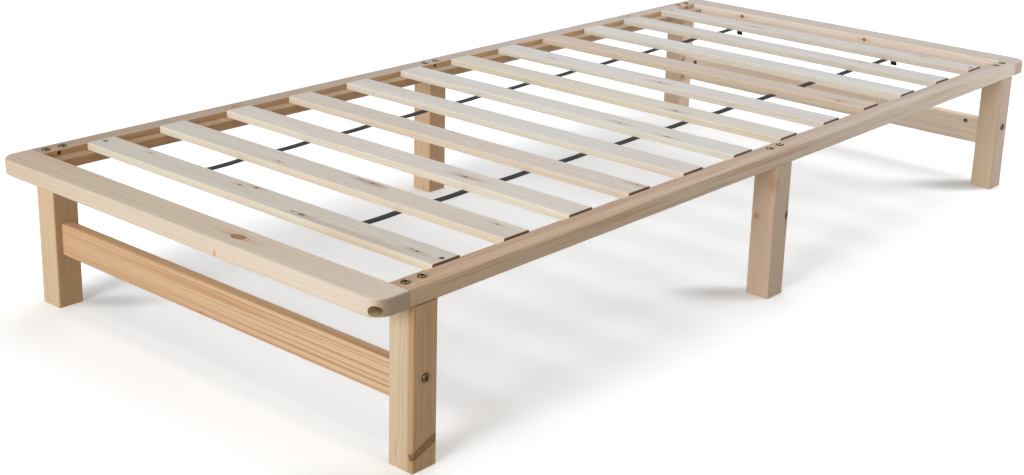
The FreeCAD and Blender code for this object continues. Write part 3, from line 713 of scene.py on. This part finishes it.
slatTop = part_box("slat_01")[1].z
ledgeInset = screw["lip"] + screw["ledgeShare"] * screw["ledge"]
screwSpots = []
for name in (slatNames[0], slatNames[-1]):
    low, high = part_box(name)
    for side in (-1, 1):
        seat = np.array(((low.x + high.x) / 2, side * (bedSide - ledgeInset), slatTop - screw["headDepth"]))
        screwSpots.append((seat, pointing((0, 0, -1))))
points, faces = copiesAt(*screwShape(), screwSpots)
screws = pieceFrom("slat_screws_cross", points, faces, darkBrass)
smooth(screws, screw["crease"])
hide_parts("slat_screws")
print("screws made")


# straps: woven webbing under the slats, a little slack between them, with a loose tail at the head end

strap = {
    "width": 14 * mm, "thick": 1.5 * mm, "slack": 1.2 * mm, "tailBend": 5.75 * mm,
    "held": 28 * mm,                # half of the width that each slat holds
    "kick": 2.5 * mm,               # the tail swings out a little
    "ribs": 6, "ribDepth": 0.14, "selvedge": 0.1 * mm, "stations": 700, "lays": 13, "crease": 50,
}


def strapLine(side):
    # the run goes straight from the first slat to the last; then a quarter circle; then the tail hangs
    low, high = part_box(f"strap_{side}")
    hand = -1 if side == "near" else 1
    half = strap["width"] / 2
    inner, outer = (high.y, low.y) if hand < 0 else (low.y, high.y)
    start = np.array((low.x, inner + hand * half, high.z - strap["thick"] / 2))
    bendX = high.x - strap["thick"] / 2 - strap["tailBend"]
    stop = np.array((bendX, outer - hand * half, start[2]))
    run = np.linalg.norm(stop - start)
    quarter = strap["tailBend"] * math.pi / 2
    hang = high.z - low.z - strap["thick"] / 2 - strap["tailBend"]
    total = run + quarter + hang
    s = np.linspace(0, total, strap["stations"])
    along = np.clip(s, 0, run) / run
    arc = np.clip(s - run, 0, quarter) / strap["tailBend"]
    drop = np.clip(s - run - quarter, 0, hang)
    line = start + (stop - start) * along[:, None]
    line[:, 0] += strap["tailBend"] * np.sin(arc)
    line[:, 2] -= strap["tailBend"] * (1 - np.cos(arc)) + drop
    firstLow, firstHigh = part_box(slatNames[0])
    pitch = (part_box(slatNames[-1])[0].x - firstLow.x) / (len(slatNames) - 1)
    phase = (line[:, 0] - (firstLow.x + firstHigh.x) / 2) / pitch
    free = np.clip(np.abs(phase - np.round(phase)) * pitch - strap["held"], 0, None)
    between = free / (pitch / 2 - strap["held"])
    line[:, 2] -= strap["slack"] * np.sin(between * math.pi / 2) * (s < run)
    line[:, 0] += strap["kick"] * (drop / hang) ** 2
    return s, line, total


def strapPiece(side):
    # a flat rounded section carried along the line; its width always lies level across the bed
    s, line, total = strapLine(side)
    tangent = np.gradient(line, axis=0)
    tangent /= np.linalg.norm(tangent, axis=1)[:, None]
    across = np.cross(tangent, (0, 0, 1.0))
    flat = np.linalg.norm(across[:, :2], axis=1) > 0.3
    level = np.array((0, -1.0, 0))
    across = np.where(flat[:, None], across, level)
    across /= np.linalg.norm(across, axis=1)[:, None]
    face = np.cross(across, tangent)
    half, thin = strap["width"] / 2, strap["thick"] / 2
    lay = np.linspace(-1, 1, strap["lays"])
    ribbed = 1 - strap["ribDepth"] + strap["ribDepth"] * np.cos(lay * math.pi * strap["ribs"])
    top = np.stack((lay * (half - strap["selvedge"]), thin * ribbed), axis=1)
    section = np.concatenate((top, np.stack((top[::-1, 0], -top[::-1, 1]), axis=1)))
    points = (line[:, None] + across[:, None] * section[None, :, :1] + face[:, None] * section[None, :, 1:])
    rows, columns = len(line), len(section)
    uv = np.stack((np.repeat(s[:, None], columns, 1), np.repeat(section[None, :, 0], rows, 0)), axis=-1)
    faces = gridFaces(rows, columns).tolist()
    faces.append(list(range(columns))[::-1])
    faces.append(list(range((rows - 1) * columns, rows * columns)))
    piece = pieceFrom(f"strap_{side}_woven", points, faces, blackWebbing, uv)
    smooth(piece, strap["crease"])
    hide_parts(f"strap_{side}")
    return total


for side in ("near", "far"):
    print("strap", side, "length", round(strapPiece(side), 3))


# staples: one wire bridge where each strap crosses each slat, seen from below

staple = {
    "crown": 10 * mm, "leg": 6 * mm, "wire": 0.55 * mm, "corner": 0.9 * mm,
    "sides": 8, "bendSteps": 4, "crease": 60,
    "standOff": 0.8,                # of the wire's middle from the strap, in wire radii
    "lean": 8,                      # degrees that a staple may be askew
    "lastBack": 4 * mm,             # the last one keeps clear of the tail
}


def stapleShape():
    # a round wire carried along a squared U; the crown is on the strap and the legs go up into the slat
    half, bend = staple["crown"] / 2, staple["corner"]
    turn = np.linspace(0, math.pi / 2, staple["bendSteps"])
    left = np.stack((-half + bend - bend * np.cos(turn), bend - bend * np.sin(turn)), axis=1)
    right = np.stack((-left[::-1, 0], left[::-1, 1]), axis=1)
    path = np.concatenate(([(-half, staple["leg"])], left, right, [(half, staple["leg"])]))
    path = np.stack((np.zeros(len(path)), path[:, 0], path[:, 1]), axis=1)
    tangent = np.gradient(path, axis=0)
    tangent /= np.linalg.norm(tangent, axis=1)[:, None]
    out = np.cross(tangent, (1.0, 0, 0))
    angle = np.arange(staple["sides"]) * 2 * math.pi / staple["sides"]
    cosine, sine = np.cos(angle)[None, :, None], np.sin(angle)[None, :, None]
    ring = staple["wire"] * (cosine * np.array((1.0, 0, 0)) + sine * out[:, None])
    return (path[:, None] + ring).reshape(-1, 3), gridFaces(len(path), staple["sides"])


stapleSpots = []
for side in ("near", "far"):
    line = strapLine(side)[1]
    for name in slatNames:
        low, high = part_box(name)
        x = (low.x + high.x) / 2 - (staple["lastBack"] if name == slatNames[-1] else 0)
        closest = line[np.argmin(np.abs(line[:, 0] - x))]
        lean = math.radians(rng.uniform(-staple["lean"], staple["lean"]))
        cosine, sine = math.cos(lean), math.sin(lean)
        turn = np.array(((cosine, -sine, 0), (sine, cosine, 0), (0, 0, 1)))
        drop = strap["thick"] / 2 + staple["wire"] * staple["standOff"]
        stapleSpots.append((np.array((x, closest[1], closest[2] - drop)), turn))
points, faces = copiesAt(*stapleShape(), stapleSpots)
staples = pieceFrom("strap_staples", points, faces, zinc)
smooth(staples, staple["crease"])
print("staples made", len(stapleSpots))


# floor, light and camera

floorLook = {"size": 60.0, "roughness": 0.9, "specular": 0.1,
             "seen": (1.36, 1.4, 1.45, 1), "bounce": (0.52, 0.495, 0.455, 1),
             "farSeen": (4.2, 4.2, 4.2, 1), "farFrom": 1.8, "farTo": 5.5,
             # painted shade on the floor under the foot end, in m: where it sets in and fades out lengthwise,
             # and across
             "shade": (0.865, 0.865, 0.865, 1), "shadeFront": (-0.93, -0.88), "shadeBack": (-0.58, -0.74),
             "shadeNear": (-0.42, -0.32), "shadeFar": (0.47, 0.43),
             # painted shadows beside some legs, as soft ovals: tint, stretch, turn and mm towards the bed;
             # for each leg the way along x, and the half width in mm
             "paintedLegShadow": (0.70, 0.70, 0.70, 1), "paintedLegShadowStretch": 2.9, "paintedLegShadowTurn": -45, "paintedLegShadowOff": 58,
             "paintedLegShadowLegs": {"leg_foot_far": (1, 44), "leg_mid_near": (-1, 48), "leg_head_near": (-1, 60)}}


def makeFloor():
    half = floorLook["size"] / 2
    mesh = bpy.data.meshes.new("floor")
    corners = [(-half, -half, 0), (half, -half, 0), (half, half, 0), (-half, half, 0)]
    mesh.from_pydata(corners, [], [(0, 1, 2, 3)])
    floor = bpy.data.objects.new("floor", mesh)
    scene.collection.objects.link(floor)
    material, tree, shader = newMaterial("studio_floor")
    shader.inputs["Roughness"].default_value = floorLook["roughness"]
    shader.inputs["Specular IOR Level"].default_value = floorLook["specular"]
    # the same white far away from the lamps; only the side that the bed stands on can be seen
    place = tree.nodes.new("ShaderNodeTexCoord").outputs["Object"]
    away = calcVector(tree, "LENGTH", place)
    white = mixed(tree, spread(tree, away, floorLook["farFrom"], floorLook["farTo"]),
                  floorLook["seen"], floorLook["farSeen"])
    apart = tree.nodes.new("ShaderNodeSeparateXYZ")
    plug(tree, apart.inputs[0], place)
    # painted shade on the floor under the foot end, fading out at its edges
    shade = 1.0
    for axis, side in ((0, "shadeFront"), (0, "shadeBack"), (1, "shadeNear"), (1, "shadeFar")):
        shade = calc(tree, "MULTIPLY", spread(tree, apart.outputs[axis], *floorLook[side]), shade)
    white = tinted(tree, shade, white, floorLook["shade"])
    # painted shadows: a soft dark oval beside each of these legs
    for name, (way, width) in floorLook["paintedLegShadowLegs"].items():
        x, y = legMiddle[name][:2] / mm + way * np.array((1, -1)) * floorLook["paintedLegShadowOff"]
        oval = knotField(tree, place, x, y, width, floorLook["paintedLegShadowStretch"], floorLook["paintedLegShadowTurn"])
        white = tinted(tree, spread(tree, oval, 1.0, 0.1), white, floorLook["paintedLegShadow"])
    seen = tree.nodes.new("ShaderNodeLightPath").outputs["Is Camera Ray"]
    plug(tree, shader.inputs["Base Color"], mixed(tree, seen, floorLook["bounce"], white))
    under = tree.nodes.new("ShaderNodeNewGeometry").outputs["Backfacing"]
    split = tree.nodes.new("ShaderNodeMixShader")
    for socket, value in zip(split.inputs, (under, shader.outputs[0],
                                            tree.nodes.new("ShaderNodeBsdfTransparent").outputs[0])):
        plug(tree, socket, value)
    surface = next(n for n in tree.nodes if n.type == "OUTPUT_MATERIAL").inputs["Surface"]
    plug(tree, surface, split.outputs[0])
    mesh.materials.append(material)


makeFloor()

lights = {
    "world": 0.30,
    "worldTone": (1.0, 0.965, 0.925, 1),
    "areas": [
        dict(name="keySoftbox", at=(-7.5, -0.8, 2.6), aim=(-0.4, 0, 0.2), size=3.4, power=312,
             tone=(1.0, 1.0, 0.985), mirrored=True, lit=True),
        dict(name="lowCard", at=(-5.0, 1.4, 0.45), aim=(0.2, 0.1, 0.12), size=1.4, power=52,
             tone=(1.0, 1.0, 0.985), mirrored=False, lit=True),
        dict(name="farCard", at=(8.1, 3.4, 2.4), aim=(0, 0, 0.2), size=3.0, power=36,
             tone=(1.0, 1.0, 1.0), mirrored=True, lit=False),
        dict(name="backCard", at=(7.8, 6.6, 2.5), aim=(0, 0.4, 0.2), size=2.6, power=30,
             tone=(1.0, 1.0, 1.0), mirrored=True, lit=False),
        dict(name="topSoftbox", at=(1.1, 0.4, 4.2), aim=(0.3, 0, 0), size=4.0, power=86,
             tone=(0.985, 0.995, 1.0), mirrored=True, lit=True),
        dict(name="sideFill", at=(2.4, -1.8, 0.55), aim=(0.9, -0.4, 0.2), size=1.2, power=36,
             tone=(0.94, 0.97, 1.0), mirrored=False, lit=True),
    ],
}

world = bpy.data.worlds.new("studio")
scene.world = world
world.use_nodes = True
background = next(n for n in world.node_tree.nodes if n.type == "BACKGROUND")
background.inputs["Color"].default_value = lights["worldTone"]
background.inputs["Strength"].default_value = lights["world"]
for area in lights["areas"]:
    data = bpy.data.lights.new(area["name"], "AREA")
    data.shape = "DISK"
    data.size = area["size"]
    data.energy = area["power"]
    data.color = area["tone"]
    lamp = bpy.data.objects.new(area["name"], data)
    lamp.location = area["at"]
    lamp.visible_glossy = area["mirrored"]
    lamp.visible_diffuse = area["lit"]
    lamp.rotation_euler = (Vector(area["aim"]) - Vector(area["at"])).to_track_quat("-Z", "Y").to_euler()
    scene.collection.objects.link(lamp)
scene.view_settings.view_transform = "Standard"

camera = {"at": (-2.35027, -1.84856, 1.07631), "turn": (72.6646, -1.7439, -49.3742), "lens": 56.021,
          "shift": (-0.0225, -0.0708), "sensor": 36.0}
cameraData = bpy.data.cameras.new("photoCamera")
cameraData.sensor_width = camera["sensor"]
cameraData.lens = camera["lens"]
cameraData.shift_x, cameraData.shift_y = camera["shift"]
cameraObject = bpy.data.objects.new("photoCamera", cameraData)
cameraObject.location = camera["at"]
cameraObject.rotation_euler = Euler([math.radians(angle) for angle in camera["turn"]], "XYZ")
scene.collection.objects.link(cameraObject)
scene.camera = cameraObject
print("stage set")
